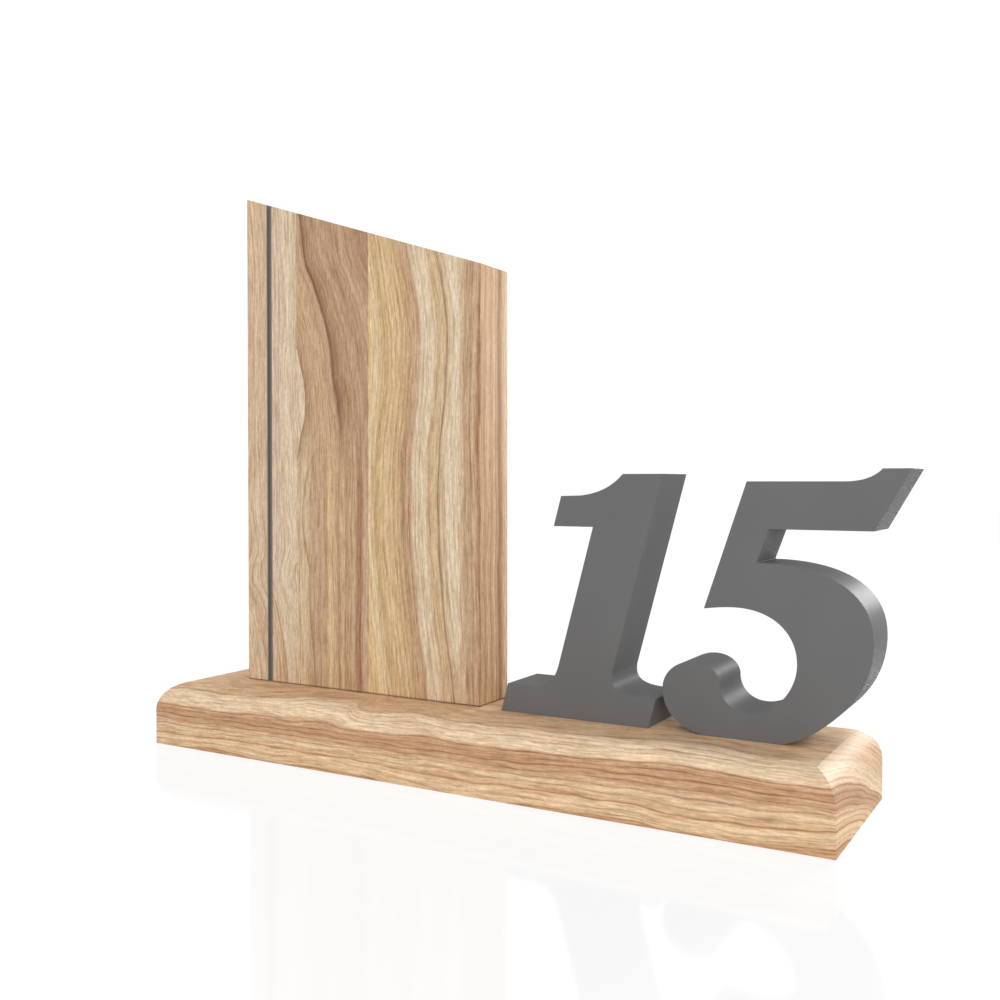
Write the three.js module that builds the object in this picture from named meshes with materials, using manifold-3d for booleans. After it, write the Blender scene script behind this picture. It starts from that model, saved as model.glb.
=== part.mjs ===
// A table number holder: a base plank with rounded top edges carries a slope-topped panel, glued up from four
// staves, and the raised italic numerals 1 and 5. Screws and dowels come up through the base.
// Millimetres. +X runs along the base towards the numerals, +Z is up and the front faces -Y.
// The origin is the middle of the base's underside.
import * as THREE from "three";
import { mergeVertices, toCreasedNormals } from "three/addons/utils/BufferGeometryUtils.js";
import Module from "manifold-3d";

const wasm = await Module();
wasm.setup();

// Base plank.
const BASE_LENGTH = 250;
const BASE_DEPTH = 62.5;
const BASE_HEIGHT = 22.6;
const BASE_ROUND = 10; // radius of the four top edges
const UPRIGHT_Y = 2; // centre line of the panel and the numerals, a little behind the middle of the base

// Panel, from its left end.
const PANEL_INSET = 24.3; // from the left end of the base
const PANEL_THICKNESS = 19;
const PANEL_HIGH_SIDE = 183; // height of the left edge above the base
const PANEL_LOW_SIDE = 148.5; // height of the right edge above the base
const STAVE_WIDTHS = [24.2, 33, 38.5, 7.8];

// Accent strip, a U-section trim that opens to the front.
const STRIP_INSET = 9.7; // from the left edge of the panel
const STRIP_WIDTH = 2.35;
const STRIP_WALL = 0.35;
const STRIP_FLOOR = 0.8;
const STRIP_RECESS = 1; // from the panel's face back to the strip's floor
const STRIP_CLEARANCE = 0.05; // on each side of the strip in its groove

// Numerals.
const NUMERAL_THICKNESS = 20.5;
const NUMERAL_1_GAP = 8.7; // from the panel to the foot of the 1
const NUMERAL_5_GAP = 2.1; // from the foot of the 1 to the ball of the 5
const ONE_HEIGHT = 78.05;
const ONE_SLANT = 0.27; // sideways lean for each unit of height
const ONE_FOOT_WIDTH = 51.9;
const ONE_FOOT_HEIGHT = 9.3;
const ONE_STEM_LEFT = 16.6; // from the left end of the foot, measured along the foot
const ONE_STEM_RIGHT = 35.5;
const ONE_FLAG_LEFT = 2.8;
const ONE_FLAG_BOTTOM = 61.4;
const ONE_FLAG_TOP = 71.1;
const ONE_TOP_LEFT = 22.2;
const FIVE_HEIGHT = 79.3;
const FIVE_BAR_TOP = 75.75;
const FIVE_BAR_BOTTOM = 61.95;
const FIVE_BOWL_TOP = 52.1;
const FIVE_BOWL_RIGHT = 61.75;
const FIVE_INSIDE_TOP = 38.75; // inner edge of the bowl
const FIVE_INSIDE_RIGHT = 40.7;
const FIVE_INSIDE_BOTTOM = 8;
const FIVE_BALL_RIGHT = 18;
const FIVE_BALL_TOP = 21.75;
const FIVE_STEM_LEFT = 13;
const FIVE_STEM_FOOT = 37.9; // height where the stem runs into the inside of the bowl
const FIVE_FOOT_LEFT = 13; // the planed flat, from the left of the ball
const FIVE_FOOT_RIGHT = 36.3;

// Screws, drawn at the bottom of their threads.
const SCREW_SEAT = 6; // depth of the counterbore, where the head bears
const SCREW_HEAD_HEIGHT = 2.6;
const SCREW_HEAD_CHAMFER = 0.8;
const SCREW_TIP = 3; // length of the point
const THREAD_DEPTH = 0.35;
const THROUGH_CLEARANCE = 0.25; // between the threads and the hole through the base
const HEAD_CLEARANCE = 0.5;
const PILOT_SPARE = 0.6; // between the point and the end of its hole
const RECESS_DEPTH = 1.5;
const RECESS_LENGTH = 4;
const RECESS_WIDTH = 0.9;
const PANEL_SCREW = { core: 1.65, head: 4, bite: 24 };
const NUMERAL_SCREW = { core: 1.4, head: 3.5, bite: 13.4 };
const SHORT_SCREW = { core: 1.4, head: 3.5, bite: 6.4 }; // where the bowl of the 5 is thin
const PANEL_SCREW_2_INSET = 15.5; // from the left edge of stave 3
const ONE_SCREW_PLACES = [24.3, 36]; // from the left end of the foot of the 1
const FIVE_SCREW_PLACES = [15, 33]; // from the left of the ball of the 5

// Dowels.
const DOWEL_RADIUS = 3;
const DOWEL_FLOOR = 8; // height of the bottom of the dowel's hole in the base
const DOWEL_BITE = 17; // how far the dowel stands up into the panel
const DOWEL_CHAMFER = 0.6;
const DOWEL_CLEARANCE = 0.3;
const DOWEL_SPARE = 1; // between the top of the dowel and the end of its hole
const PANEL_DOWEL_2_INSET = 7; // from the right edge of stave 3

const CURVE_STEPS = 20;
const ROUND_STEPS = 36;

const panelLeft = PANEL_INSET - BASE_LENGTH / 2;
const staveEdges = [panelLeft];
for (const width of STAVE_WIDTHS) staveEdges.push(staveEdges[staveEdges.length - 1] + width);
const panelRight = staveEdges[STAVE_WIDTHS.length];
const panelFront = UPRIGHT_Y - PANEL_THICKNESS / 2;
const panelBack = UPRIGHT_Y + PANEL_THICKNESS / 2;
const stripLeft = panelLeft + STRIP_INSET;
const stripRight = stripLeft + STRIP_WIDTH;
const grooveFloor = panelFront + STRIP_RECESS + STRIP_FLOOR;
const numeralFront = UPRIGHT_Y - NUMERAL_THICKNESS / 2;
const numeralBack = UPRIGHT_Y + NUMERAL_THICKNESS / 2;
const oneLeft = panelRight + NUMERAL_1_GAP;
const fiveLeft = oneLeft + ONE_FOOT_WIDTH + ONE_SLANT * ONE_FOOT_HEIGHT + NUMERAL_5_GAP;

// Where each fixing comes up, with the screw it takes.
const panelScrews = [
  { x: (staveEdges[1] + staveEdges[2]) / 2, type: PANEL_SCREW },
  { x: staveEdges[2] + PANEL_SCREW_2_INSET, type: PANEL_SCREW },
];
const panelDowels = [(staveEdges[0] + staveEdges[1]) / 2, staveEdges[3] - PANEL_DOWEL_2_INSET];
const oneScrews = ONE_SCREW_PLACES.map((place) => ({ x: oneLeft + place, type: NUMERAL_SCREW }));
const fiveScrews = [
  { x: fiveLeft + FIVE_SCREW_PLACES[0], type: NUMERAL_SCREW },
  { x: fiveLeft + FIVE_SCREW_PLACES[1], type: SHORT_SCREW },
];
const allScrews = [...panelScrews, ...oneScrews, ...fiveScrews];

const X = new THREE.Vector3(1, 0, 0);
const Y = new THREE.Vector3(0, 1, 0);
const Z = new THREE.Vector3(0, 0, 1);
const FACING_FRONT = new THREE.Matrix4().makeBasis(X, Z, Y.clone().negate());
const FACING_SIDE = new THREE.Matrix4().makeBasis(Y, Z, X);

// A closed three.js geometry as a solid that can be joined and cut.
function solid(geometry) {
  geometry.deleteAttribute("normal");
  geometry.deleteAttribute("uv");
  const merged = mergeVertices(geometry, 1e-4);
  const corners = merged.index.array;
  const kept = [];
  for (let i = 0; i < corners.length; i += 3) {
    const [a, b, c] = corners.slice(i, i + 3);
    if (a !== b && b !== c && c !== a) kept.push(a, b, c);
  }
  const mesh = new wasm.Mesh({
    numProp: 3,
    vertProperties: merged.attributes.position.array,
    triVerts: new Uint32Array(kept),
  });
  return new wasm.Manifold(mesh);
}

function extrude(shape, depth) {
  return new THREE.ExtrudeGeometry(shape, { depth, bevelEnabled: false, curveSegments: CURVE_STEPS });
}

// An outline drawn in x and z, from the front plane to the back plane.
function prismY(shape, front, back) {
  return solid(extrude(shape, back - front).applyMatrix4(FACING_FRONT).translate(0, back, 0));
}

// An outline drawn in y and z, from the left plane to the right plane.
function prismX(shape, left, right) {
  return solid(extrude(shape, right - left).applyMatrix4(FACING_SIDE).translate(left, 0, 0));
}

// An outline drawn in x and y, from the bottom plane to the top plane.
function prismZ(shape, bottom, top) {
  return solid(extrude(shape, top - bottom).translate(0, 0, bottom));
}

function polygon(points) {
  return new THREE.Shape(points.map(([a, b]) => new THREE.Vector2(a, b)));
}

function rectangle(left, right, bottom, top) {
  return polygon([[left, bottom], [right, bottom], [right, top], [left, top]]);
}

function hole(x, radius, bottom, top) {
  const disc = new THREE.Shape().absarc(x, UPRIGHT_Y, radius, 0, 2 * Math.PI, false);
  return prismZ(disc, bottom, top);
}

// A turned body that stands on the uprights' centre line, from [radius, height] points.
function turned(x, points) {
  const profile = points.map(([radius, height]) => new THREE.Vector2(radius, height));
  return solid(new THREE.LatheGeometry(profile, ROUND_STEPS).rotateX(Math.PI / 2).translate(x, UPRIGHT_Y, 0));
}

function cut(body, tools) {
  return tools.reduce((rest, tool) => rest.subtract(tool), body);
}

// One end view of the base: square below, both top corners rounded.
function roundedProfile(width) {
  const side = width / 2;
  const inner = side - BASE_ROUND;
  const middle = BASE_HEIGHT - BASE_ROUND;
  return new THREE.Shape()
    .moveTo(-side, 0)
    .lineTo(side, 0)
    .lineTo(side, middle)
    .absarc(inner, middle, BASE_ROUND, 0, Math.PI / 2, false)
    .lineTo(-inner, BASE_HEIGHT)
    .absarc(-inner, middle, BASE_ROUND, Math.PI / 2, Math.PI, false);
}

function screwHoleInBase({ x, type }) {
  const counterbore = hole(x, type.head + HEAD_CLEARANCE, -1, SCREW_SEAT);
  const radius = type.core + THREAD_DEPTH + THROUGH_CLEARANCE;
  return counterbore.add(hole(x, radius, SCREW_SEAT - 1, BASE_HEIGHT + 1));
}

function dowelHole(x) {
  const top = BASE_HEIGHT + DOWEL_BITE + DOWEL_SPARE;
  return hole(x, DOWEL_RADIUS + DOWEL_CLEARANCE, DOWEL_FLOOR, top);
}

// The threaded hole in whatever the screw holds.
function pilotHole({ x, type }) {
  const top = BASE_HEIGHT + type.bite + PILOT_SPARE;
  return hole(x, type.core + THREAD_DEPTH, BASE_HEIGHT - 1, top);
}

function basePlank() {
  const lengthways = prismY(roundedProfile(BASE_LENGTH), -BASE_DEPTH / 2, BASE_DEPTH / 2);
  const across = prismX(roundedProfile(BASE_DEPTH), -BASE_LENGTH / 2, BASE_LENGTH / 2);
  const plank = lengthways.intersect(across);
  return cut(plank, [...allScrews.map(screwHoleInBase), ...panelDowels.map(dowelHole)]);
}

// Height of the panel's sloping top at x.
function panelTop(x) {
  const share = (x - panelLeft) / (panelRight - panelLeft);
  return BASE_HEIGHT + PANEL_HIGH_SIDE + (PANEL_LOW_SIDE - PANEL_HIGH_SIDE) * share;
}

function panelSlice(left, right) {
  const slice = polygon([
    [left, BASE_HEIGHT],
    [right, BASE_HEIGHT],
    [right, panelTop(right)],
    [left, panelTop(left)],
  ]);
  return prismY(slice, panelFront, panelBack);
}

function stave(index) {
  const body = panelSlice(staveEdges[index], staveEdges[index + 1]);
  return cut(body, [...panelScrews.map(pilotHole), ...panelDowels.map(dowelHole)]);
}

function stripGroove() {
  const width = rectangle(
    stripLeft - STRIP_CLEARANCE,
    stripRight + STRIP_CLEARANCE,
    BASE_HEIGHT - 1,
    panelTop(panelLeft) + 1,
  );
  return prismY(width, panelFront - 1, grooveFloor);
}

function accentStrip() {
  const inner = panelFront + STRIP_RECESS;
  const section = polygon([
    [stripLeft, panelFront],
    [stripLeft + STRIP_WALL, panelFront],
    [stripLeft + STRIP_WALL, inner],
    [stripRight - STRIP_WALL, inner],
    [stripRight - STRIP_WALL, panelFront],
    [stripRight, panelFront],
    [stripRight, grooveFloor],
    [stripLeft, grooveFloor],
  ]);
  const length = prismZ(section, BASE_HEIGHT, panelTop(panelLeft));
  return length.intersect(panelSlice(staveEdges[0], staveEdges[1]));
}

// Draws an outline in a numeral's own grid: u along its foot, v up from the base, leaning by the slant.
class Pen {
  constructor(left, slant) {
    this.left = left;
    this.slant = slant;
    this.shape = new THREE.Shape();
  }
  at(u, v) {
    return [this.left + u + this.slant * v, BASE_HEIGHT + v];
  }
  move(u, v) {
    this.shape.moveTo(...this.at(u, v));
    return this;
  }
  line(u, v) {
    this.shape.lineTo(...this.at(u, v));
    return this;
  }
  bend(cu, cv, u, v) {
    this.shape.quadraticCurveTo(...this.at(cu, cv), ...this.at(u, v));
    return this;
  }
  curve(au, av, bu, bv, u, v) {
    this.shape.bezierCurveTo(...this.at(au, av), ...this.at(bu, bv), ...this.at(u, v));
    return this;
  }
}

// The 1: a slab foot, a stem that runs into it on both sides, and a flag with a hollow top.
function oneOutline() {
  return new Pen(oneLeft, ONE_SLANT)
    .move(0, 0)
    .line(ONE_FOOT_WIDTH, 0)
    .line(ONE_FOOT_WIDTH, ONE_FOOT_HEIGHT)
    .line(45.5, ONE_FOOT_HEIGHT)
    .curve(40.1, 9.7, 36, 10.8, ONE_STEM_RIGHT, 16.2)
    .line(ONE_STEM_RIGHT, ONE_HEIGHT)
    .line(ONE_TOP_LEFT, ONE_HEIGHT)
    .bend(17.9, ONE_FLAG_TOP, 5.6, ONE_FLAG_TOP)
    .line(ONE_FLAG_LEFT, ONE_FLAG_TOP)
    .line(ONE_FLAG_LEFT, ONE_FLAG_BOTTOM)
    .line(ONE_STEM_LEFT, ONE_FLAG_BOTTOM)
    .line(ONE_STEM_LEFT, 17.2)
    .curve(ONE_STEM_LEFT, 12.6, 15.3, 10, 10.5, ONE_FOOT_HEIGHT)
    .line(0, ONE_FOOT_HEIGHT).shape;
}

// The 5: a bar with a pointed flag, a leaning stem and a bowl that ends in a ball on the left.
function fiveOutline() {
  return new Pen(fiveLeft, 0)
    .move(FIVE_FOOT_LEFT, 0)
    .line(FIVE_FOOT_RIGHT, 0)
    .curve(42.9, 1.5, 48.6, 6.2, 53.2, 10.7)
    .curve(59, 16.4, FIVE_BOWL_RIGHT, 23.5, FIVE_BOWL_RIGHT, 31)
    .curve(FIVE_BOWL_RIGHT, 45.5, 49, FIVE_BOWL_TOP, 28.8, FIVE_BOWL_TOP)
    .line(32.4, FIVE_BAR_BOTTOM)
    .line(61.7, FIVE_BAR_BOTTOM)
    .line(71.45, FIVE_HEIGHT)
    .line(63.8, FIVE_HEIGHT)
    .bend(60.6, FIVE_BAR_TOP, 53.5, FIVE_BAR_TOP)
    .line(25.85, FIVE_BAR_TOP)
    .line(FIVE_STEM_LEFT, FIVE_STEM_FOOT)
    .curve(16.5, 38.4, 19.5, FIVE_INSIDE_TOP, 22.5, FIVE_INSIDE_TOP)
    .curve(33.5, FIVE_INSIDE_TOP, FIVE_INSIDE_RIGHT, 32.5, FIVE_INSIDE_RIGHT, 23.4)
    .curve(FIVE_INSIDE_RIGHT, 15.5, 34, FIVE_INSIDE_BOTTOM, 26.4, FIVE_INSIDE_BOTTOM)
    .curve(21.3, FIVE_INSIDE_BOTTOM, FIVE_BALL_RIGHT, 11.5, FIVE_BALL_RIGHT, 15.6)
    .curve(FIVE_BALL_RIGHT, 19.3, 14.5, FIVE_BALL_TOP, 10.2, FIVE_BALL_TOP)
    .curve(4.4, FIVE_BALL_TOP, 0, 17.8, 0, 12.9)
    .curve(0, 6, 5.2, 1.2, FIVE_FOOT_LEFT, 0).shape;
}

function numeral(outline, screws) {
  return cut(prismY(outline, numeralFront, numeralBack), screws.map(pilotHole));
}

// The cross driven from below.
function driveRecess(x) {
  const bottom = SCREW_SEAT - SCREW_HEAD_HEIGHT;
  const long = RECESS_LENGTH / 2;
  const thin = RECESS_WIDTH / 2;
  const bar = rectangle(x - long, x + long, UPRIGHT_Y - thin, UPRIGHT_Y + thin);
  const cross = rectangle(x - thin, x + thin, UPRIGHT_Y - long, UPRIGHT_Y + long);
  const top = bottom + RECESS_DEPTH;
  return prismZ(bar, bottom - 1, top).add(prismZ(cross, bottom - 1, top));
}

function screw({ x, type }) {
  const bottom = SCREW_SEAT - SCREW_HEAD_HEIGHT;
  const top = BASE_HEIGHT + type.bite;
  const body = turned(x, [
    [0, bottom],
    [type.head - SCREW_HEAD_CHAMFER, bottom],
    [type.head, bottom + SCREW_HEAD_CHAMFER],
    [type.head, SCREW_SEAT],
    [type.core, SCREW_SEAT],
    [type.core, top - SCREW_TIP],
    [0, top],
  ]);
  return body.subtract(driveRecess(x));
}

function dowel(x) {
  const top = BASE_HEIGHT + DOWEL_BITE;
  return turned(x, [
    [0, DOWEL_FLOOR],
    [DOWEL_RADIUS - DOWEL_CHAMFER, DOWEL_FLOOR],
    [DOWEL_RADIUS, DOWEL_FLOOR + DOWEL_CHAMFER],
    [DOWEL_RADIUS, top - DOWEL_CHAMFER],
    [DOWEL_RADIUS - DOWEL_CHAMFER, top],
    [0, top],
  ]);
}

const BASE_WOOD = { color: "#cda57f", roughness: 0.55, metalness: 0 };
const STAVE_WOODS = [
  { color: "#d3b08a", roughness: 0.55, metalness: 0 },
  { color: "#b98f6c", roughness: 0.55, metalness: 0 },
  { color: "#dcbb8d", roughness: 0.55, metalness: 0 },
  { color: "#c79c79", roughness: 0.55, metalness: 0 },
];
const DOWEL_WOOD = { color: "#d9c29b", roughness: 0.6, metalness: 0 };
const NUMERAL_PAINT = { color: "#6e6e6e", roughness: 0.45, metalness: 0 };
const STRIP_METAL = { color: "#4f4c49", roughness: 0.5, metalness: 0.3 };
const SCREW_STEEL = { color: "#b4b6b8", roughness: 0.35, metalness: 1 };

const part = new THREE.Group();
part.name = "table_number_holder";

function addPiece(name, body, look) {
  const { vertProperties, triVerts } = body.getMesh();
  const geometry = new THREE.BufferGeometry();
  geometry.setAttribute("position", new THREE.BufferAttribute(vertProperties, 3));
  geometry.setIndex(new THREE.BufferAttribute(triVerts, 1));
  const mesh = new THREE.Mesh(toCreasedNormals(geometry, Math.PI / 6), new THREE.MeshStandardMaterial(look));
  mesh.name = name;
  part.add(mesh);
}

addPiece("base_plank", basePlank(), BASE_WOOD);
STAVE_WOODS.forEach((wood, i) => {
  const body = stave(i);
  addPiece(`panel_stave_${i + 1}`, i === 0 ? body.subtract(stripGroove()) : body, wood);
});
addPiece("accent_strip", accentStrip(), STRIP_METAL);
addPiece("numeral_1", numeral(oneOutline(), oneScrews), NUMERAL_PAINT);
addPiece("numeral_5", numeral(fiveOutline(), fiveScrews), NUMERAL_PAINT);
panelScrews.forEach((fixing, i) => addPiece(`panel_screw_${i + 1}`, screw(fixing), SCREW_STEEL));
panelDowels.forEach((x, i) => addPiece(`panel_dowel_${i + 1}`, dowel(x), DOWEL_WOOD));
oneScrews.forEach((fixing, i) => addPiece(`numeral_1_screw_${i + 1}`, screw(fixing), SCREW_STEEL));
fiveScrews.forEach((fixing, i) => addPiece(`numeral_5_screw_${i + 1}`, screw(fixing), SCREW_STEEL));

export default part;
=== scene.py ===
"""Looks of the table number holder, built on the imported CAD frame. Metres, in the CAD's own axes."""

from math import radians

import bmesh
import bpy
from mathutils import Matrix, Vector


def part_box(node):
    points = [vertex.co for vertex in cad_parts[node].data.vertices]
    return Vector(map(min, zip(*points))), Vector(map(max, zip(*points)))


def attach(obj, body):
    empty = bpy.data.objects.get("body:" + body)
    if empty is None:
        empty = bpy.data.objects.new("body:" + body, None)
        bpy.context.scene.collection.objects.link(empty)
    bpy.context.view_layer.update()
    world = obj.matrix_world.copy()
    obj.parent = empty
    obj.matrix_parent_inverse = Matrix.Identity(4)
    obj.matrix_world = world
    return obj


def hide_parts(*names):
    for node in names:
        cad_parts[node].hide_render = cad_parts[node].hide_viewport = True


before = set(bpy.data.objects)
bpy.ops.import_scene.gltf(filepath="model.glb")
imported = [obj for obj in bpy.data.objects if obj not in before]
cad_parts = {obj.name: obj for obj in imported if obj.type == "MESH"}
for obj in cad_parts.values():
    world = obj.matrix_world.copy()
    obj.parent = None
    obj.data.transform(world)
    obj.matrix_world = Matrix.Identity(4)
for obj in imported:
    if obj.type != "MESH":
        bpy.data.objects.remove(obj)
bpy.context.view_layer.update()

MM = 0.001
BODY = "root"
STAVES = ["panel_stave_1", "panel_stave_2", "panel_stave_3", "panel_stave_4"]
NUMERALS = ["numeral_1", "numeral_5"]

# Edges are eased by these radii. The base and the numerals are crisper than the panel.
EASED_STAVE = 0.5 * MM
EASED_BASE = 0.3 * MM
EASED_NUMERAL = 0.3 * MM
EASING_STEPS = 3

# Points closer than WELD_GAP are joined, and facets that meet at less than FLAT_ANGLE are merged. Corners
# over EASED_ANGLE are eased, and what is still over SHARP_ANGLE after that is shaded sharp. An edge within
# JOINT_GAP of a glue joint's plane is left alone.
WELD_GAP = 0.002 * MM
FLAT_ANGLE = radians(0.4)
EASED_ANGLE = radians(28)
SHARP_ANGLE = radians(38)
JOINT_GAP = 0.01 * MM

# Indices of refraction, below those of lacquer and paint: at their real values, the white surroundings wash
# out the side faces.
WOOD_IOR = 1.2
PAINT_IOR = 1.05

# Woods are drawn in millimetres: up the panel to PANEL_TALL, which is just above its high side, and along
# the base from its left end.
PANEL_TALL = 184.0
BASE_LONG = 250

# The base's growth rings curve round a pith at this CAD Y and Z, in front of the base and far below it, so
# that they run nearly level along its front.
PITH_FORWARD = -40
PITH_BELOW = -120

# Sizes of the wood's marks in millimetres, along the grain and across it.
SLOW_WANDER = (60, 16)
QUICK_WANDER = (17, 4.5)
RING_BREAK = (40, 4)
STREAK = (14, 0.8)
FIBRE = (7, 1 / 1.7)
RIPPLE = (1.8, 1.1)
PORE = (2.6, 1 / 3.2)
BRUSH_MARK = (12, 1 / 8)
BEECH_FIBRE = (6, 1 / 2)

# Nearly all of a noise lies in its wide range, and most of it in its usual range.
WIDE = (0.25, 0.75)
USUAL = (0.3, 0.7)

# How bright the dome is as a light, how bright the camera and reflections see it, and how the floor answers.
DOME_LIGHT = 0.72
DOME_WHITE = 1.04
FLOOR_GLOW = 0.915
FLOOR_SHADE = 0.12
FLOOR_GLOSS = 0.085
FLOOR_GLOSS_ROUGHNESS = 0.08
FLOOR_BOUNCE = 0.8
FLOOR_HALF_SIDE = 4.0
FLOOR_DROP = 0.1 * MM

CAMERA_PLACE = (0.1877, -0.3139, 0.0983)
CAMERA_DOWN = 0.991
CAMERA_TURN = 30.03
CAMERA_LENS = 38.54
CAMERA_SENSOR = 36
CAMERA_CLIP = 10 * MM


def srgb(red, green, blue):
    """A colour written as it looks on screen, 0 to 255, as the linear values that a shader takes."""

    def linear(value):
        v = value / 255
        return v / 12.92 if v <= 0.04045 else ((v + 0.055) / 1.055) ** 2.4

    return (linear(red), linear(green), linear(blue), 1.0)


class Tree:
    """Short calls that build one material's nodes."""

    def __init__(self, name):
        self.material = bpy.data.materials.new(name)
        self.material.use_nodes = True
        self.tree = self.material.node_tree
        self.tree.nodes.clear()

    def add(self, kind, inputs=None, **settings):
        node = self.tree.nodes.new(kind)
        for key, value in settings.items():
            setattr(node, key, value)
        for key, value in (inputs or {}).items():
            if isinstance(value, bpy.types.NodeSocket):
                self.tree.links.new(value, node.inputs[key])
            else:
                node.inputs[key].default_value = value
        return node

    def math(self, operation, *values):
        return self.add("ShaderNodeMath", dict(enumerate(values)), operation=operation).outputs[0]

    def noise(self, vector, scale=1.0, detail=2.0, roughness=0.5, distortion=0.0):
        inputs = {"Vector": vector, "Scale": scale, "Detail": detail, "Roughness": roughness}
        inputs["Distortion"] = distortion
        return self.add("ShaderNodeTexNoise", inputs).outputs["Fac"]

    def noise_line(self, value):
        inputs = {"W": value, "Scale": 1.0, "Detail": 1.0}
        return self.add("ShaderNodeTexNoise", inputs, noise_dimensions="1D").outputs["Fac"]

    def combine(self, x, y, z):
        return self.add("ShaderNodeCombineXYZ", {"X": x, "Y": y, "Z": z}).outputs[0]

    def ramp(self, value, stops):
        """stops: (position, colour) pairs, or (position, number) pairs for a grey."""
        node = self.add("ShaderNodeValToRGB", {"Fac": value})
        ramp = node.color_ramp
        while len(ramp.elements) > 1:
            ramp.elements.remove(ramp.elements[-1])
        for i, (position, colour) in enumerate(stops):
            element = ramp.elements[0] if i == 0 else ramp.elements.new(position)
            element.position = position
            element.color = colour if isinstance(colour, tuple) else (colour, colour, colour, 1)
        return node.outputs["Color"]

    def curve(self, value, points):
        """A smooth curve through points whose both numbers run from 0 to 1."""
        node = self.add("ShaderNodeFloatCurve", {"Value": value})
        line = node.mapping.curves[0]
        line.points[0].location = points[0]
        line.points[1].location = points[-1]
        for x, y in points[1:-1]:
            line.points.new(x, y)
        node.mapping.update()
        return node.outputs[0]

    def between(self, value, low, high, out_low=0.0, out_high=1.0, smooth=True):
        inputs = {"Value": value, "From Min": low, "From Max": high, "To Min": out_low, "To Max": out_high}
        kind = "SMOOTHSTEP" if smooth else "LINEAR"
        return self.add("ShaderNodeMapRange", inputs, interpolation_type=kind).outputs[0]

    def mix(self, factor, a, b, blend="MIX"):
        node = self.add("ShaderNodeMix", data_type="RGBA", blend_type=blend)
        for index, value in ((0, factor), (6, a), (7, b)):
            if isinstance(value, bpy.types.NodeSocket):
                self.tree.links.new(value, node.inputs[index])
            else:
                node.inputs[index].default_value = value
        return node.outputs[2]

    def bump(self, height, distance, strength):
        inputs = {"Height": height, "Distance": distance, "Strength": strength}
        return self.add("ShaderNodeBump", inputs).outputs[0]

    def surface(self, **inputs):
        shader = self.add("ShaderNodeBsdfPrincipled", {k.replace("_", " "): v for k, v in inputs.items()})
        output = self.add("ShaderNodeOutputMaterial")
        self.tree.links.new(shader.outputs[0], output.inputs["Surface"])
        return self.material


def stretched(t, *axes):
    """A noise coordinate, from (place, blotch length) pairs in millimetres or values used as they are."""
    return t.combine(*(t.math("DIVIDE", *axis) if isinstance(axis, tuple) else axis for axis in axes))


def marks(t, size, along, across, depth):
    """A noise coordinate for marks of one size, alike across the grain and through the thickness."""
    return stretched(t, (along, size[0]), (across, size[1]), (depth, size[1]))


def axes_in_mm(t, order):
    """The object's own coordinates in millimetres, as (along the grain, across, through the thickness)."""
    place = t.add("ShaderNodeTexCoord").outputs["Object"]
    scaled = t.add("ShaderNodeVectorMath", {0: place, "Scale": 1 / MM}, operation="SCALE").outputs[0]
    split = t.add("ShaderNodeSeparateXYZ", {0: scaled})
    return [split.outputs[axis] for axis in order]


def rippled(t, along, across, depth, seed):
    """Slow and quick sideways wander of the grain, in millimetres."""
    shifted = t.math("ADD", t.math("DIVIDE", depth, 20), seed)
    slow = t.noise(stretched(t, (along, SLOW_WANDER[0]), (across, SLOW_WANDER[1]), shifted), detail=1)
    quick = t.noise(stretched(t, (along, QUICK_WANDER[0]), (across, QUICK_WANDER[1]), shifted), detail=2)
    slow_mm = t.between(slow, *WIDE, -1.1, 1.1, smooth=False)
    quick_mm = t.between(quick, *WIDE, -0.45, 0.45, smooth=False)
    return t.math("ADD", slow_mm, quick_mm)


def follow(t, along, length, points):
    """A sideways offset in millimetres that varies along a board, from (distance along, offset) points."""
    lowest = min(offset for _, offset in points)
    reach = max(offset for _, offset in points) - lowest
    scaled = [(place / length, (offset - lowest) / reach) for place, offset in sorted(points)]
    share = t.curve(t.math("DIVIDE", along, length), scaled)
    return t.math("MULTIPLY_ADD", share, reach, lowest)


def bands(t, value, stops):
    """Colour bands across a board, from (place in millimetres, colour) stops."""
    low, high = stops[0][0], stops[-1][0]
    share = t.between(value, low, high, smooth=False)
    return t.ramp(share, [((place - low) / (high - low), colour) for place, colour in stops])


def vein(t, tone, place, line, colour, before, after, strength, fade=None):
    """A dark growth line at line, soft over before millimetres on its left and after on its right."""
    offset = t.math("SUBTRACT", place, line)
    reach = before + after
    share = t.between(offset, -before, after, smooth=False)
    half_dark, darkest, fading = 0.7 * before / reach, before / reach, (before + 0.3 * after) / reach
    body = t.ramp(share, [(0, 0.0), (half_dark, 0.35), (darkest, 1.0), (fading, 0.45), (1, 0.0)])
    amount = t.math("MULTIPLY", body, strength)
    if fade is not None:
        amount = t.math("MULTIPLY", amount, fade)
    return t.mix(amount, tone, colour)


def window(t, value, low, high, soft):
    """One between low and high, fading to nothing over soft at both ends."""
    rise = t.between(value, low - soft, low)
    fall = t.between(value, high, high + soft, 1, 0)
    return t.math("MULTIPLY", rise, fall)


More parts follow.
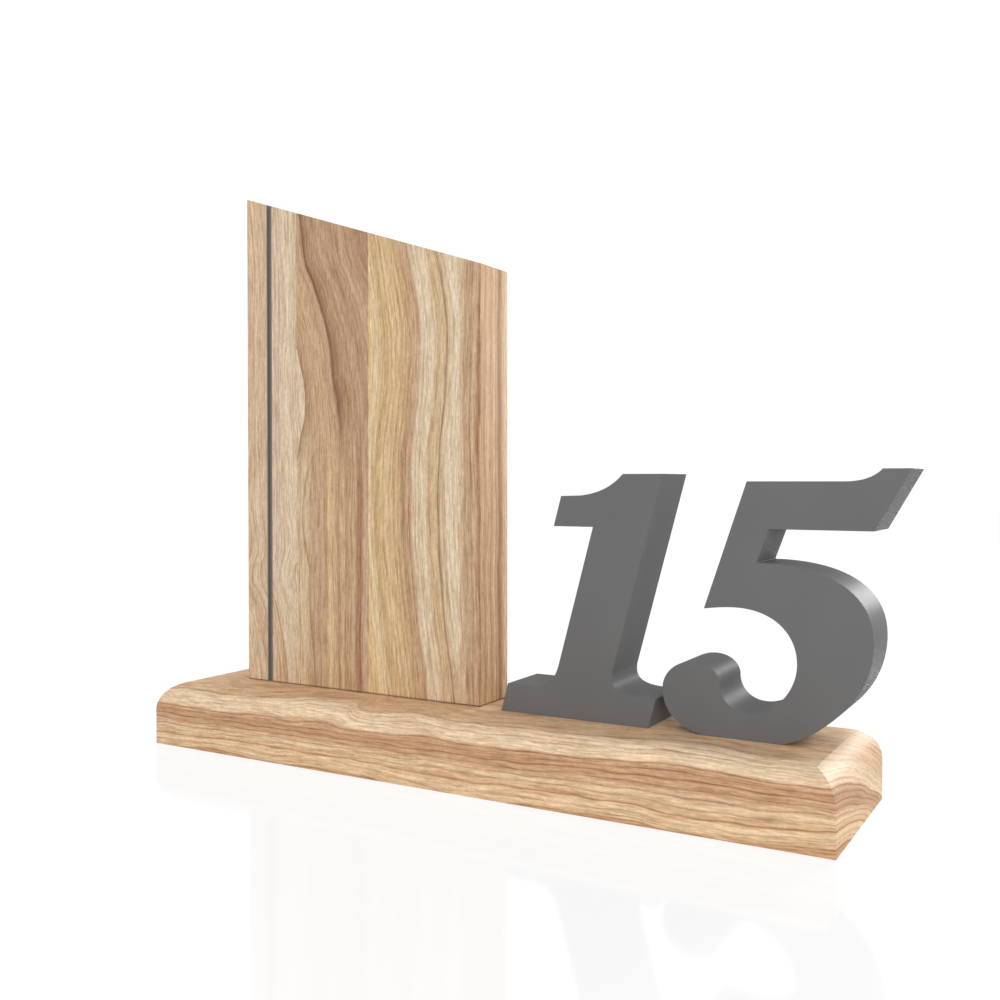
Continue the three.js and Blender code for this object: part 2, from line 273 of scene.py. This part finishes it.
def growth_lines(t, place, along, across, ends, line_mm, seed):
    """Fine growth rings: each one darkens slowly, ends in a thin dark line and starts again pale."""
    warped = t.noise_line(t.math("ADD", t.math("DIVIDE", place, 3.1 * line_mm), seed * 7))
    phase = t.math("MULTIPLY_ADD", warped, 2.2, t.math("DIVIDE", place, line_mm))
    body = t.ramp(t.math("FRACT", phase), [(0, 0.0), (0.4, 0.06), (0.72, 0.4), (0.88, 1.0), (1, 0.0)])
    number = t.math("FLOOR", phase)
    ring = t.add("ShaderNodeTexWhiteNoise", {"W": number}, noise_dimensions="1D").outputs["Value"]
    breaks = t.noise(stretched(t, (along, RING_BREAK[0]), (across, RING_BREAK[1]), ends), detail=2)
    ring_strength = t.between(ring, 0, 1, 0.15, 1.0, smooth=False)
    amount = t.math("MULTIPLY", ring_strength, t.between(breaks, 0.35, 0.65, 0.3, 1.0))
    return t.math("MULTIPLY", body, amount)


def painted_foot_shade(t, tone, along):
    """Painted shade: the dark line along the panel's glued foot, where it meets the base."""
    return t.mix(t.between(along, 0.75, 0.25, 0, 0.75), tone, srgb(96, 66, 44))


def finish_wood(t, tone, place, along, across, depth, dark, seed, line_mm, line_strength):
    """Adds growth lines, streaks, fibres, pores and ripple to broad colour bands, and makes the material."""
    ends = t.math("ADD", t.math("DIVIDE", depth, 9), seed)
    line = growth_lines(t, place, along, across, ends, line_mm, seed)
    tone = t.mix(t.math("MULTIPLY", line, line_strength), tone, dark)
    streak_place = stretched(t, (along, STREAK[0]), (place, STREAK[1]), ends)
    streak = t.noise(streak_place, detail=3, roughness=0.65)
    brightened = (1.13, 1.14, 1.14, 1)
    warm = t.ramp(streak, [(0.3, srgb(228, 212, 194)), (0.5, srgb(254, 254, 254)), (0.7, brightened)])
    tone = t.mix(1.0, tone, warm, "MULTIPLY")
    fibre = t.noise(marks(t, FIBRE, along, across, depth), detail=3, roughness=0.7)
    tone = t.mix(1.0, tone, t.between(fibre, *USUAL, 0.74, 1.2, smooth=False), "MULTIPLY")
    ripple = t.noise(marks(t, RIPPLE, along, across, depth), detail=1, distortion=0.8)
    tone = t.mix(1.0, tone, t.between(ripple, *WIDE, 0.9, 1.08, smooth=False), "MULTIPLY")
    pores = t.between(t.noise(marks(t, PORE, along, across, depth), detail=1), 0.66, 0.76)
    tone = t.mix(t.math("MULTIPLY", pores, 0.4), tone, dark)
    hollows = t.math("MULTIPLY_ADD", pores, 0.5, t.math("MULTIPLY", line, 0.2))
    relief = t.math("SUBTRACT", t.math("MULTIPLY", fibre, 0.6), hollows)
    return t.surface(
        Base_Color=tone,
        Roughness=t.between(fibre, *USUAL, 0.52, 0.64),
        Normal=t.bump(relief, 0.08 * MM, 0.6),
        IOR=WOOD_IOR,
    )


def stave_axes(t):
    """Millimetres up the panel, from its left edge, and back from its face."""
    up, across, through = axes_in_mm(t, (2, 0, 1))
    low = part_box("panel_stave_1")[0] / MM
    starts = ((up, low.z), (across, low.x), (through, low.y))
    return [t.math("SUBTRACT", value, start) for value, start in starts]


def stave_1_wood():
    """Pale cream, with lines that swing out low down."""
    t = Tree("stave_1_wood")
    along, across, depth = stave_axes(t)
    sway = follow(t, along, PANEL_TALL, [
        (0, 10), (10, 9), (25, 6), (34, 2.5), (41, 0), (52, 2.5), (66, 1), (110, 0.4), (140, 0.8),
        (160, 0.2), (184, -2),
    ])
    wander = t.math("MULTIPLY_ADD", depth, 0.6, rippled(t, along, across, depth, 1.3))
    place = t.math("ADD", t.math("SUBTRACT", across, sway), wander)
    tone = bands(t, place, [
        (-10, srgb(214, 186, 152)), (-5, srgb(226, 202, 172)), (0, srgb(212, 184, 152)),
        (4, srgb(222, 198, 168)), (8, srgb(210, 180, 146)), (11, srgb(222, 200, 172)),
        (15, srgb(216, 194, 166)), (19, srgb(226, 206, 180)), (23, srgb(218, 196, 168)),
        (27, srgb(210, 184, 152)), (36, srgb(220, 198, 170)),
    ])
    low_part = t.between(along, 62, 45)
    for line in (-4.5, -1.5, 2.2, 5.6, 9.0):
        tone = vein(t, tone, place, line, srgb(170, 130, 92), 0.3, 1.2, 0.6, low_part)
    for line, strength in ((2.4, 0.4), (5.2, 0.35), (12.6, 0.2)):
        tone = vein(t, tone, place, line, srgb(176, 138, 100), 0.5, 1.0, strength, t.between(along, 70, 90))
    # Painted shade along the panel's foot, where it meets the base.
    tone = painted_foot_shade(t, tone, along)
    return finish_wood(t, tone, place, along, across, depth, srgb(168, 130, 92), 1.3, 1.7, 0.5)


def stave_2_wood():
    """Brown, with a dark line that leans left as it rises and an eye-shaped cream figure at its left edge."""
    t = Tree("stave_2_wood")
    along, across, depth = stave_axes(t)
    sway = follow(t, along, PANEL_TALL, [
        (0, 0), (60, 0), (91, 0), (104, -1), (117, -3), (124, -4), (131, -5.8), (137, -8), (144, -10.6),
        (149, -13), (154, -15.5), (162, -18), (184, -20.5),
    ])
    wander = t.math("MULTIPLY_ADD", depth, 0.5, rippled(t, along, across, depth, 4.1))
    place = t.math("ADD", t.math("SUBTRACT", across, sway), wander)
    upper = bands(t, place, [
        (24, srgb(210, 182, 150)), (32, srgb(200, 168, 134)), (38, srgb(206, 174, 140)),
        (43.8, srgb(200, 166, 136)), (45.2, srgb(158, 122, 96)), (48, srgb(184, 150, 120)),
        (53, srgb(196, 164, 134)), (57, srgb(184, 150, 122)), (62, srgb(200, 168, 138)),
        (68, srgb(186, 152, 124)), (73, srgb(178, 142, 116)), (77, srgb(184, 150, 124)),
    ])
    lower = bands(t, place, [
        (24, srgb(216, 190, 156)), (29.5, srgb(218, 192, 156)), (31, srgb(200, 168, 138)),
        (36, srgb(204, 172, 142)), (37.5, srgb(192, 158, 124)), (39, srgb(220, 192, 150)),
        (42, srgb(210, 180, 142)), (44, srgb(198, 164, 128)), (46, srgb(210, 180, 144)),
        (48, srgb(196, 162, 126)), (51, srgb(208, 178, 142)), (52.6, srgb(172, 132, 104)),
        (54.2, srgb(182, 144, 116)), (55.4, srgb(206, 174, 144)), (57.5, srgb(202, 170, 140)),
        (77, srgb(194, 160, 130)),
    ])
    tone = t.mix(t.between(along, 66, 108), lower, upper)
    tone = vein(t, tone, place, 44.7, srgb(108, 76, 54), 0.4, 1.8, 0.75, t.between(along, 84, 108))
    for line, strength in (
        (41.2, 0.35), (47.6, 0.3), (51.0, 0.35), (60.0, 0.3), (64.6, 0.4), (70.2, 0.35),
    ):
        tone = vein(t, tone, place, line, srgb(134, 98, 74), 0.4, 1.1, strength, t.between(along, 70, 110))
    near = t.math("MULTIPLY_ADD", wander, 0.3, across)
    curl = follow(t, along, PANEL_TALL, [
        (0, 32.8), (14, 31.7), (23, 30.8), (34, 30), (41, 30.3), (49, 28.7), (61, 27), (71, 27.5),
        (79, 29.2), (89, 33.3), (184, 50),
    ])
    tone = vein(t, tone, near, curl, srgb(144, 104, 74), 0.3, 1.4, 0.65, t.between(along, 92, 80))
    tone = vein(t, tone, near, 38.2, srgb(160, 122, 84), 0.5, 0.8, 0.5, window(t, along, 40, 92, 12))
    for line, strength in ((34.4, 0.3), (43.4, 0.4), (47.2, 0.45), (49.6, 0.3)):
        tone = vein(t, tone, place, line, srgb(146, 106, 76), 0.4, 0.9, strength, t.between(along, 100, 70))
    tone = vein(t, tone, near, 53.6, srgb(134, 92, 72), 0.9, 0.9, 0.5, t.between(along, 96, 70))
    eye = follow(t, along, PANEL_TALL, [
        (0, 20), (75, 22), (86, 24.5), (91, 25.4), (96, 26.8), (101, 27.8), (106, 28), (111, 27.5),
        (117, 26.2), (124, 24.5), (130, 22.5), (184, 20),
    ])
    tone = vein(t, tone, near, eye, srgb(146, 106, 76), 0.2, 4.4, 0.75, window(t, along, 88, 128, 8))
    cream = t.between(t.math("SUBTRACT", near, eye), 0.2, -0.2)
    tone = t.mix(cream, tone, srgb(224, 202, 174))
    # Painted shade along the panel's foot, where it meets the base.
    tone = painted_foot_shade(t, tone, along)
    return finish_wood(t, tone, place, along, across, depth, srgb(126, 90, 64), 4.1, 1.4, 0.55)


def stave_3_wood():
    """Yellow on its left and cream on its right, with one dark line in an S."""
    t = Tree("stave_3_wood")
    along, across, depth = stave_axes(t)
    sway = follow(t, along, PANEL_TALL, [
        (0, 6.8), (16, 4.7), (29, 2.8), (42, 1.3), (57, 0), (71, -0.3), (84, 0), (96, 1.3), (106, 2.5),
        (117, 3.3), (126, 3.5), (134, 2.8), (144, 1.2), (153, -0.8), (184, -7),
    ])
    rippling = t.math("MULTIPLY", rippled(t, along, across, depth, 7.7), 0.55)
    wander = t.math("ADD", rippling, t.math("MULTIPLY", depth, 0.7))
    place = t.math("ADD", t.math("SUBTRACT", across, sway), wander)
    tone = bands(t, place, [
        (48, srgb(222, 190, 148)), (55, srgb(226, 196, 150)), (58, srgb(228, 204, 166)),
        (61, srgb(212, 182, 138)), (65, srgb(222, 194, 152)), (70.5, srgb(210, 180, 138)),
        (72, srgb(202, 168, 134)), (75, srgb(206, 174, 142)), (77, srgb(224, 204, 176)),
        (81, srgb(226, 206, 176)), (83, srgb(214, 186, 150)), (86, srgb(216, 190, 154)),
        (88, srgb(220, 198, 166)), (91, srgb(230, 212, 184)), (95, srgb(224, 204, 174)),
        (104, srgb(214, 188, 154)),
    ])
    tone = vein(t, tone, place, 86.7, srgb(140, 98, 60), 0.8, 1.3, 0.8)
    tone = vein(t, tone, place, 72.2, srgb(146, 106, 80), 0.8, 2.8, 0.55, window(t, along, 30, 92, 16))
    tone = vein(t, tone, place, 74.9, srgb(144, 102, 76), 0.4, 0.9, 0.55, window(t, along, 8, 80, 16))
    for line, strength in (
        (58.8, 0.3), (61.2, 0.4), (63.8, 0.35), (66.4, 0.3), (68.4, 0.5), (70.1, 0.35), (78.9, 0.35),
        (83.0, 0.45), (89.4, 0.25), (92.5, 0.3),
    ):
        tone = vein(t, tone, place, line, srgb(164, 122, 80), 0.5, 0.8, strength)
    # Painted shade along the panel's foot, where it meets the base.
    tone = painted_foot_shade(t, tone, along)
    return finish_wood(t, tone, place, along, across, depth, srgb(158, 116, 74), 7.7, 1.8, 0.52)


def stave_4_wood():
    """Pinkish brown on the panel's face, streaked with orange on its right-hand side."""
    t = Tree("stave_4_wood")
    along, across, depth = stave_axes(t)
    wander = t.math("MULTIPLY", rippled(t, along, across, depth, 9.2), 0.8)
    place = t.math("ADD", t.math("ADD", across, depth), wander)
    tone = bands(t, place, [
        (94, srgb(216, 190, 158)), (97, srgb(212, 184, 152)), (99.5, srgb(196, 164, 132)),
        (101.5, srgb(212, 182, 150)), (103.2, srgb(174, 134, 102)), (104.5, srgb(212, 174, 132)),
        (107, srgb(198, 158, 118)), (108.5, srgb(214, 176, 136)), (111, srgb(196, 156, 118)),
        (113, srgb(216, 180, 140)), (115, srgb(196, 156, 118)), (116.5, srgb(152, 110, 80)),
        (118, srgb(188, 148, 110)), (120, srgb(214, 186, 150)), (123, srgb(222, 196, 162)),
    ])
    patch = window(t, along, 101, 122, 8)
    tone = vein(t, tone, place, 103.6, srgb(136, 98, 72), 0.8, 2.4, 0.5, patch)
    for line, strength in (
        (98.0, 0.4), (100.2, 0.5), (106.4, 0.45), (110.6, 0.4), (113.8, 0.5), (117.6, 0.4),
    ):
        tone = vein(t, tone, place, line, srgb(144, 102, 72), 0.4, 0.8, strength)
    # Painted shade along the panel's foot, where it meets the base.
    tone = painted_foot_shade(t, tone, along)
    return finish_wood(t, tone, place, along, across, depth, srgb(138, 96, 70), 9.2, 1.4, 0.6)


def base_wood():
    """A board with a cream band along the rounded edge, pinkish brown below it and tan waves on its top."""
    t = Tree("base_wood")
    along, across, up = axes_in_mm(t, (0, 1, 2))
    length = t.math("ADD", along, BASE_LONG / 2)
    slow = t.noise(stretched(t, (along, 60), (across, 160), (up, 22)), detail=1)
    quick = t.noise(stretched(t, (along, 18), (across, 80), (up, 6)), detail=1)
    forward = t.math("SUBTRACT", across, PITH_FORWARD)
    height = t.math("SUBTRACT", up, PITH_BELOW)
    squares = t.math("MULTIPLY_ADD", forward, forward, t.math("MULTIPLY", height, height))
    radius = t.math("SQRT", squares)
    low_down = t.between(up, 3, 14, 2.6, 1.0)
    slow_mm = t.math("MULTIPLY", t.between(slow, *WIDE, -1.0, 1.0, smooth=False), low_down)
    wander = t.math("ADD", slow_mm, t.between(quick, *WIDE, -0.6, 0.6, smooth=False))
    trend = follow(t, length, BASE_LONG, [(0, 0), (100, 0.3), (150, 1.2), (190, 2.6), (250, 3.0)])
    humps = follow(t, length, BASE_LONG, [
        (0, 0), (33, 0.1), (60, 1.1), (78, 2.6), (88, 2.2), (95, 0.3), (103, 0.5), (115, 0.9),
        (127, 0.2), (140, -0.3), (150, 0.1), (175, -0.4), (200, -0.2), (225, -0.5), (250, -0.4),
    ])
    raised = t.math("MULTIPLY", humps, t.between(up, 14, 21))
    place = t.math("SUBTRACT", t.math("ADD", radius, wander), t.math("ADD", trend, raised))
    tone = bands(t, place, [
        (112, srgb(232, 200, 160)), (116, srgb(222, 184, 142)), (119, srgb(204, 162, 120)),
        (121, srgb(236, 204, 164)), (123, srgb(242, 212, 174)), (125, srgb(222, 184, 144)),
        (127, srgb(238, 208, 170)), (129, srgb(226, 190, 154)), (131, srgb(208, 168, 132)),
        (133.5, srgb(202, 160, 124)), (135.5, srgb(214, 176, 140)), (136.8, srgb(243, 216, 181)),
        (140, srgb(240, 213, 179)), (141.3, srgb(236, 208, 174)), (142.6, srgb(224, 188, 150)),
        (144, srgb(226, 190, 152)), (145.5, srgb(230, 194, 156)), (147, srgb(218, 182, 146)),
        (150, srgb(224, 188, 152)), (156, srgb(226, 194, 160)), (164, srgb(218, 182, 148)),
    ])
    tone = vein(t, tone, place, 141.7, srgb(146, 106, 74), 0.35, 0.8, 0.6, t.between(up, 16, 20))
    tone = vein(t, tone, place, 144.9, srgb(166, 126, 92), 0.4, 1.0, 0.45, t.between(up, 16, 20))
    for line, strength in (
        (117.4, 0.6), (119.8, 0.75), (122.2, 0.45), (124.6, 0.75), (126.4, 0.5), (128.4, 0.6),
        (130.3, 0.7), (132.2, 0.75), (134.0, 0.6), (135.6, 0.65), (138.4, 0.25),
    ):
        tone = vein(t, tone, place, line, srgb(148, 102, 70), 0.4, 0.5, strength)
    return finish_wood(t, tone, place, along, across, up, srgb(144, 98, 66), 12.4, 1.3, 0.65)


def paint():
    """Dark grey satin paint over sanded board."""
    t = Tree("numeral_paint")
    place = t.add("ShaderNodeTexCoord").outputs["Object"]
    grain = t.noise(place, 900, 3, 0.6)
    cloud = t.noise(place, 35, 2)
    tone = t.mix(t.between(cloud, *USUAL), srgb(109, 109, 109), srgb(112, 112, 112))
    return t.surface(
        Base_Color=tone,
        Roughness=t.between(grain, *USUAL, 0.43, 0.47),
        Normal=t.bump(grain, 0.01 * MM, 0.12),
        IOR=PAINT_IOR,
    )


def strip_metal():
    """Dark metal trim, brushed along its length."""
    t = Tree("strip_trim")
    along, across, through = axes_in_mm(t, (2, 0, 1))
    brushed = t.noise(marks(t, BRUSH_MARK, along, across, through), detail=2)
    return t.surface(
        Base_Color=t.mix(brushed, srgb(112, 108, 103), srgb(126, 122, 117)),
        Roughness=t.between(brushed, *USUAL, 0.45, 0.55),
        Normal=t.bump(brushed, 0.02 * MM, 0.5),
    )


def screw_steel():
    """Zinc-plated steel."""
    t = Tree("screw_steel")
    place = t.add("ShaderNodeTexCoord").outputs["Object"]
    fine = t.noise(place, 2500, 3, 0.6)
    patches = t.noise(place, 300, 2)
    return t.surface(
        Base_Color=t.mix(t.between(patches, 0.35, 0.65), srgb(176, 178, 182), srgb(196, 196, 194)),
        Metallic=1.0,
        Roughness=t.between(fine, *USUAL, 0.28, 0.4),
        Normal=t.bump(fine, 0.02 * MM, 0.4),
    )


def beech():
    """Plain beech dowel."""
    t = Tree("dowel_wood")
    along, across, through = axes_in_mm(t, (2, 0, 1))
    fibre = t.noise(marks(t, BEECH_FIBRE, along, across, through), detail=3)
    tone = t.mix(t.between(fibre, *USUAL), srgb(206, 178, 136), srgb(224, 200, 160))
    return t.surface(Base_Color=tone, Roughness=0.7, Normal=t.bump(fibre, 0.05 * MM, 0.5))


def outer_edges(mesh, sharp, keep):
    """The edges of a bmesh where its faces meet at more than the angle sharp and that keep lets through."""
    found = []
    for edge in mesh.edges:
        if len(edge.link_faces) == 2 and edge.calc_face_angle() > sharp and keep(edge):
            found.append(edge)
    return found


def every_edge(edge):
    return True


def eased_copy(node, material, radius, keep=every_edge):
    """A copy of a CAD node with its sharp edges eased, which stands for the node."""
    mesh = bmesh.new()
    mesh.from_mesh(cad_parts[node].data)
    bmesh.ops.remove_doubles(mesh, verts=mesh.verts, dist=WELD_GAP)
    bmesh.ops.dissolve_limit(mesh, angle_limit=FLAT_ANGLE, verts=mesh.verts, edges=mesh.edges)
    bmesh.ops.bevel(
        mesh,
        geom=outer_edges(mesh, EASED_ANGLE, keep),
        offset=radius,
        offset_type="OFFSET",
        segments=EASING_STEPS,
        profile=0.5,
        affect="EDGES",
        clamp_overlap=True,
    )
    for face in mesh.faces:
        face.smooth = True
    for edge in outer_edges(mesh, SHARP_ANGLE, every_edge):
        edge.smooth = False
    data = bpy.data.meshes.new("eased_" + node)
    mesh.to_mesh(data)
    mesh.free()
    data.materials.append(material)
    piece = bpy.data.objects.new("eased_" + node, data)
    bpy.context.scene.collection.objects.link(piece)
    weighted = piece.modifiers.new("normals", "WEIGHTED_NORMAL")
    weighted.keep_sharp = True
    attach(piece, BODY)
    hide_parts(node)


def dress(node, material):
    """Gives a CAD node that stays as it is its material."""
    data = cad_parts[node].data
    data.materials.clear()
    data.materials.append(material)


def away_from_joints(planes):
    """True for edges that don't lie on one of the panel's glue joints."""

    def check(edge):
        return not any(all(abs(v.co.x - x) < JOINT_GAP for v in edge.verts) for x in planes)

    return check


glue_joints = [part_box(name)[0].x for name in STAVES[1:]]
stave_woods = [stave_1_wood(), stave_2_wood(), stave_3_wood(), stave_4_wood()]

eased_copy("base_plank", base_wood(), EASED_BASE)
for i, name in enumerate(STAVES):
    eased_copy(name, stave_woods[i], EASED_STAVE, away_from_joints(glue_joints))
numeral_paint = paint()
for name in NUMERALS:
    eased_copy(name, numeral_paint, EASED_NUMERAL)
dress("accent_strip", strip_metal())
steel = screw_steel()
dowel = beech()
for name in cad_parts:
    if "screw" in name:
        dress(name, steel)
    if "dowel" in name:
        dress(name, dowel)


def grey(level):
    return (level, level, level, 1)


def studio_floor():
    """White to the camera and to reflections, with the object's shadow and a faint reflection kept."""
    t = Tree("floor")
    path = t.add("ShaderNodeLightPath").outputs
    mirrored = t.math("MAXIMUM", path["Is Glossy Ray"], path["Is Transmission Ray"])
    seen = t.math("MAXIMUM", path["Is Camera Ray"], mirrored)
    bounce = t.add("ShaderNodeBsdfDiffuse", {"Color": grey(FLOOR_BOUNCE)})
    shade = t.add("ShaderNodeBsdfDiffuse", {"Color": grey(FLOOR_SHADE)})
    glow = t.add("ShaderNodeEmission", {"Color": grey(1), "Strength": FLOOR_GLOW})
    white = t.add("ShaderNodeAddShader", {0: shade.outputs[0], 1: glow.outputs[0]})
    gloss = t.add("ShaderNodeBsdfGlossy", {"Color": grey(1), "Roughness": FLOOR_GLOSS_ROUGHNESS})
    shiny = t.add("ShaderNodeMixShader", {0: FLOOR_GLOSS, 1: white.outputs[0], 2: gloss.outputs[0]})
    both = t.add("ShaderNodeMixShader", {0: seen, 1: bounce.outputs[0], 2: shiny.outputs[0]})
    t.add("ShaderNodeOutputMaterial", {"Surface": both.outputs[0]})
    return t.material


def stage_floor():
    """The floor lies a hair below the object, so that the two don't share a plane."""
    data = bpy.data.meshes.new("floor")
    side = FLOOR_HALF_SIDE
    corners = [(-side, -side, 0), (side, -side, 0), (side, side, 0), (-side, side, 0)]
    data.from_pydata(corners, [], [(0, 1, 2, 3)])
    data.materials.append(studio_floor())
    floor = bpy.data.objects.new("floor", data)
    floor.location.z = -FLOOR_DROP
    bpy.context.scene.collection.objects.link(floor)


def studio_world():
    """A plain pale dome that shows white to the camera and in reflections."""
    world = bpy.data.worlds.new("studio")
    bpy.context.scene.world = world
    world.use_nodes = True
    tree = world.node_tree
    tree.nodes.clear()
    path = tree.nodes.new("ShaderNodeLightPath")
    camera_or_gloss = tree.nodes.new("ShaderNodeMath")
    seen = tree.nodes.new("ShaderNodeMath")
    for either in (camera_or_gloss, seen):
        either.operation = "MAXIMUM"
    strength = tree.nodes.new("ShaderNodeMapRange")
    strength.inputs["To Min"].default_value = DOME_LIGHT
    strength.inputs["To Max"].default_value = DOME_WHITE
    background = tree.nodes.new("ShaderNodeBackground")
    background.inputs["Color"].default_value = grey(1)
    output = tree.nodes.new("ShaderNodeOutputWorld")
    tree.links.new(path.outputs["Is Camera Ray"], camera_or_gloss.inputs[0])
    tree.links.new(path.outputs["Is Glossy Ray"], camera_or_gloss.inputs[1])
    tree.links.new(camera_or_gloss.outputs[0], seen.inputs[0])
    tree.links.new(path.outputs["Is Transmission Ray"], seen.inputs[1])
    tree.links.new(seen.outputs[0], strength.inputs["Value"])
    tree.links.new(strength.outputs[0], background.inputs["Strength"])
    tree.links.new(background.outputs[0], output.inputs["Surface"])


def lamp(name, place, target, size, power):
    """A round area light at place that shines on target and stays out of the picture."""
    data = bpy.data.lights.new(name, "AREA")
    data.shape = "DISK"
    data.size = size
    data.energy = power
    light = bpy.data.objects.new(name, data)
    light.location = place
    light.rotation_euler = (Vector(target) - Vector(place)).to_track_quat("-Z", "Y").to_euler()
    light.visible_camera = False
    bpy.context.scene.collection.objects.link(light)


def set_camera():
    """Looks down by CAMERA_DOWN degrees, and is turned by CAMERA_TURN degrees from the CAD's +Y."""
    data = bpy.data.cameras.new("camera")
    data.lens = CAMERA_LENS
    data.sensor_width = CAMERA_SENSOR
    data.clip_start = CAMERA_CLIP
    camera = bpy.data.objects.new("camera", data)
    camera.location = CAMERA_PLACE
    camera.rotation_euler = (radians(90 - CAMERA_DOWN), 0, radians(CAMERA_TURN))
    bpy.context.scene.collection.objects.link(camera)
    bpy.context.scene.camera = camera


set_camera()
stage_floor()
studio_world()
lamp("key", place=(1.0, -1.38, 0.55), target=(0.0, 0.0, 0.06), size=0.9, power=11.5)
lamp("rim", place=(0.36, 1.4, 0.36), target=(0.05, 0.0, 0.05), size=0.36, power=14)
bpy.context.scene.view_settings.view_transform = "Standard"
